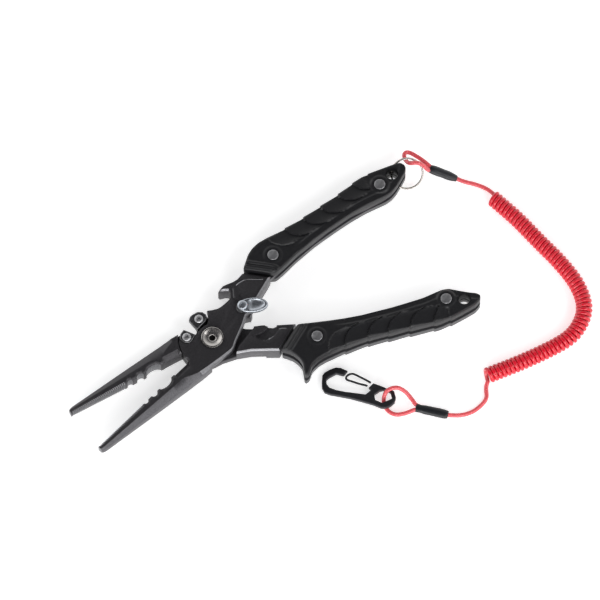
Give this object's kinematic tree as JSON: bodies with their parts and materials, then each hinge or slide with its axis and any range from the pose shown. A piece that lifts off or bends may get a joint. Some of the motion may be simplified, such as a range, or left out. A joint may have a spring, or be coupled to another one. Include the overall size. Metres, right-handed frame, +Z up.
{
  "type": "long-nose fishing pliers with lanyard",
  "caption": "Long-nose fishing pliers with side line cutters, thumb lock, spring-open pivot, riveted grips and a coiled safety lanyard ending in a wire-gate clip.",
  "frame": {"origin": "on the pivot axis, at the flat underside of the pivot nut, which is also the surface the pliers lie on", "axes": "+X towards the jaw tips along the inner face of the fixed jaw, +Z up through the pivot screw, +Y towards the moving handle"},
  "size_m": [0.3083, 0.1976, 0.0197],
  "materials": {
    "coated_steel": "satin charcoal corrosion-proof coating with brighter worn chamfers",
    "satin_steel": "turned satin steel",
    "polished_steel": "polished",
    "spring_steel": "drawn spring wire and sheet",
    "tungsten": "ground dark tungsten steel",
    "bronze": "plain bearing bronze",
    "grip_black": "matte moulded grip with overlapping scale ridges",
    "red_cord": "translucent red plastic coated cord",
    "shrink_black": "matte heat-shrink",
    "anthracite": "anthracite anodised"
  },
  "bodies": {
    "fixed_lever": {"lever_a": "coated_steel", "grip_a_upper": "grip_black", "grip_a_lower": "grip_black", "grip_rivet_a_front": "satin_steel", "grip_rivet_a_rear": "satin_steel", "pivot_screw": "satin_steel", "pivot_nut": "satin_steel", "pivot_bush": "bronze", "return_spring": "spring_steel", "cutter_blade_a": "tungsten", "cutter_screw_a": "satin_steel", "lock_screw": "satin_steel", "lock_washer": "spring_steel", "lanyard_loop_upper": "red_cord", "lanyard_sleeve_upper": "shrink_black", "lanyard_crimp_upper": "satin_steel", "lanyard_cord_upper": "red_cord", "lanyard_coil": "red_cord", "lanyard_cord_lower": "red_cord", "lanyard_sleeve_lower": "shrink_black", "lanyard_crimp_lower": "satin_steel", "lanyard_loop_lower": "red_cord"},
    "moving_lever": {"lever_b": "coated_steel", "grip_b_upper": "grip_black", "grip_b_lower": "grip_black", "grip_rivet_b_front": "satin_steel", "grip_rivet_b_rear": "satin_steel", "cutter_blade_b": "tungsten", "cutter_screw_b": "satin_steel"},
    "lock": {"lock_lever": "polished_steel"},
    "ring": {"split_ring": "polished_steel"},
    "clip": {"carabiner_body": "anthracite"},
    "clip_gate": {"carabiner_gate": "spring_steel"}
  },
  "joints": [
    {"name": "jaw_pivot", "type": "hinge", "parent": "fixed_lever", "child": "moving_lever", "pos_m": [0, 0, 0.009], "axis": [0, 0, 1], "range_deg": [0, 15.7], "stiffness_Nm_per_rad": 0.15, "springref_deg": -28.65},
    {"name": "lock_swing", "type": "hinge", "parent": "fixed_lever", "child": "lock", "pos_m": [-0.0286, -0.0011, 0.0155], "axis": [0, 0, 1], "range_deg": [-48, 0]},
    {"name": "ring_turn", "type": "hinge", "parent": "fixed_lever", "child": "ring", "pos_m": [-0.1714, 0.0074, 0.009], "axis": [0.3857, 0.5142, 0.766], "continuous": true},
    {"name": "clip_swing", "type": "hinge", "parent": "fixed_lever", "child": "clip", "pos_m": [-0.0505, 0.1045, 0.0045], "axis": [0, 0, 1], "range_deg": [-10, 10]},
    {"name": "clip_gate_hinge", "type": "hinge", "parent": "clip", "child": "clip_gate", "pos_m": [-0.0505, 0.0919, 0.0036], "axis": [0.0219, -0.0644, 0.9977], "range_deg": [0, 20], "stiffness_Nm_per_rad": 0.01, "springref_deg": -17.19}
  ]
}
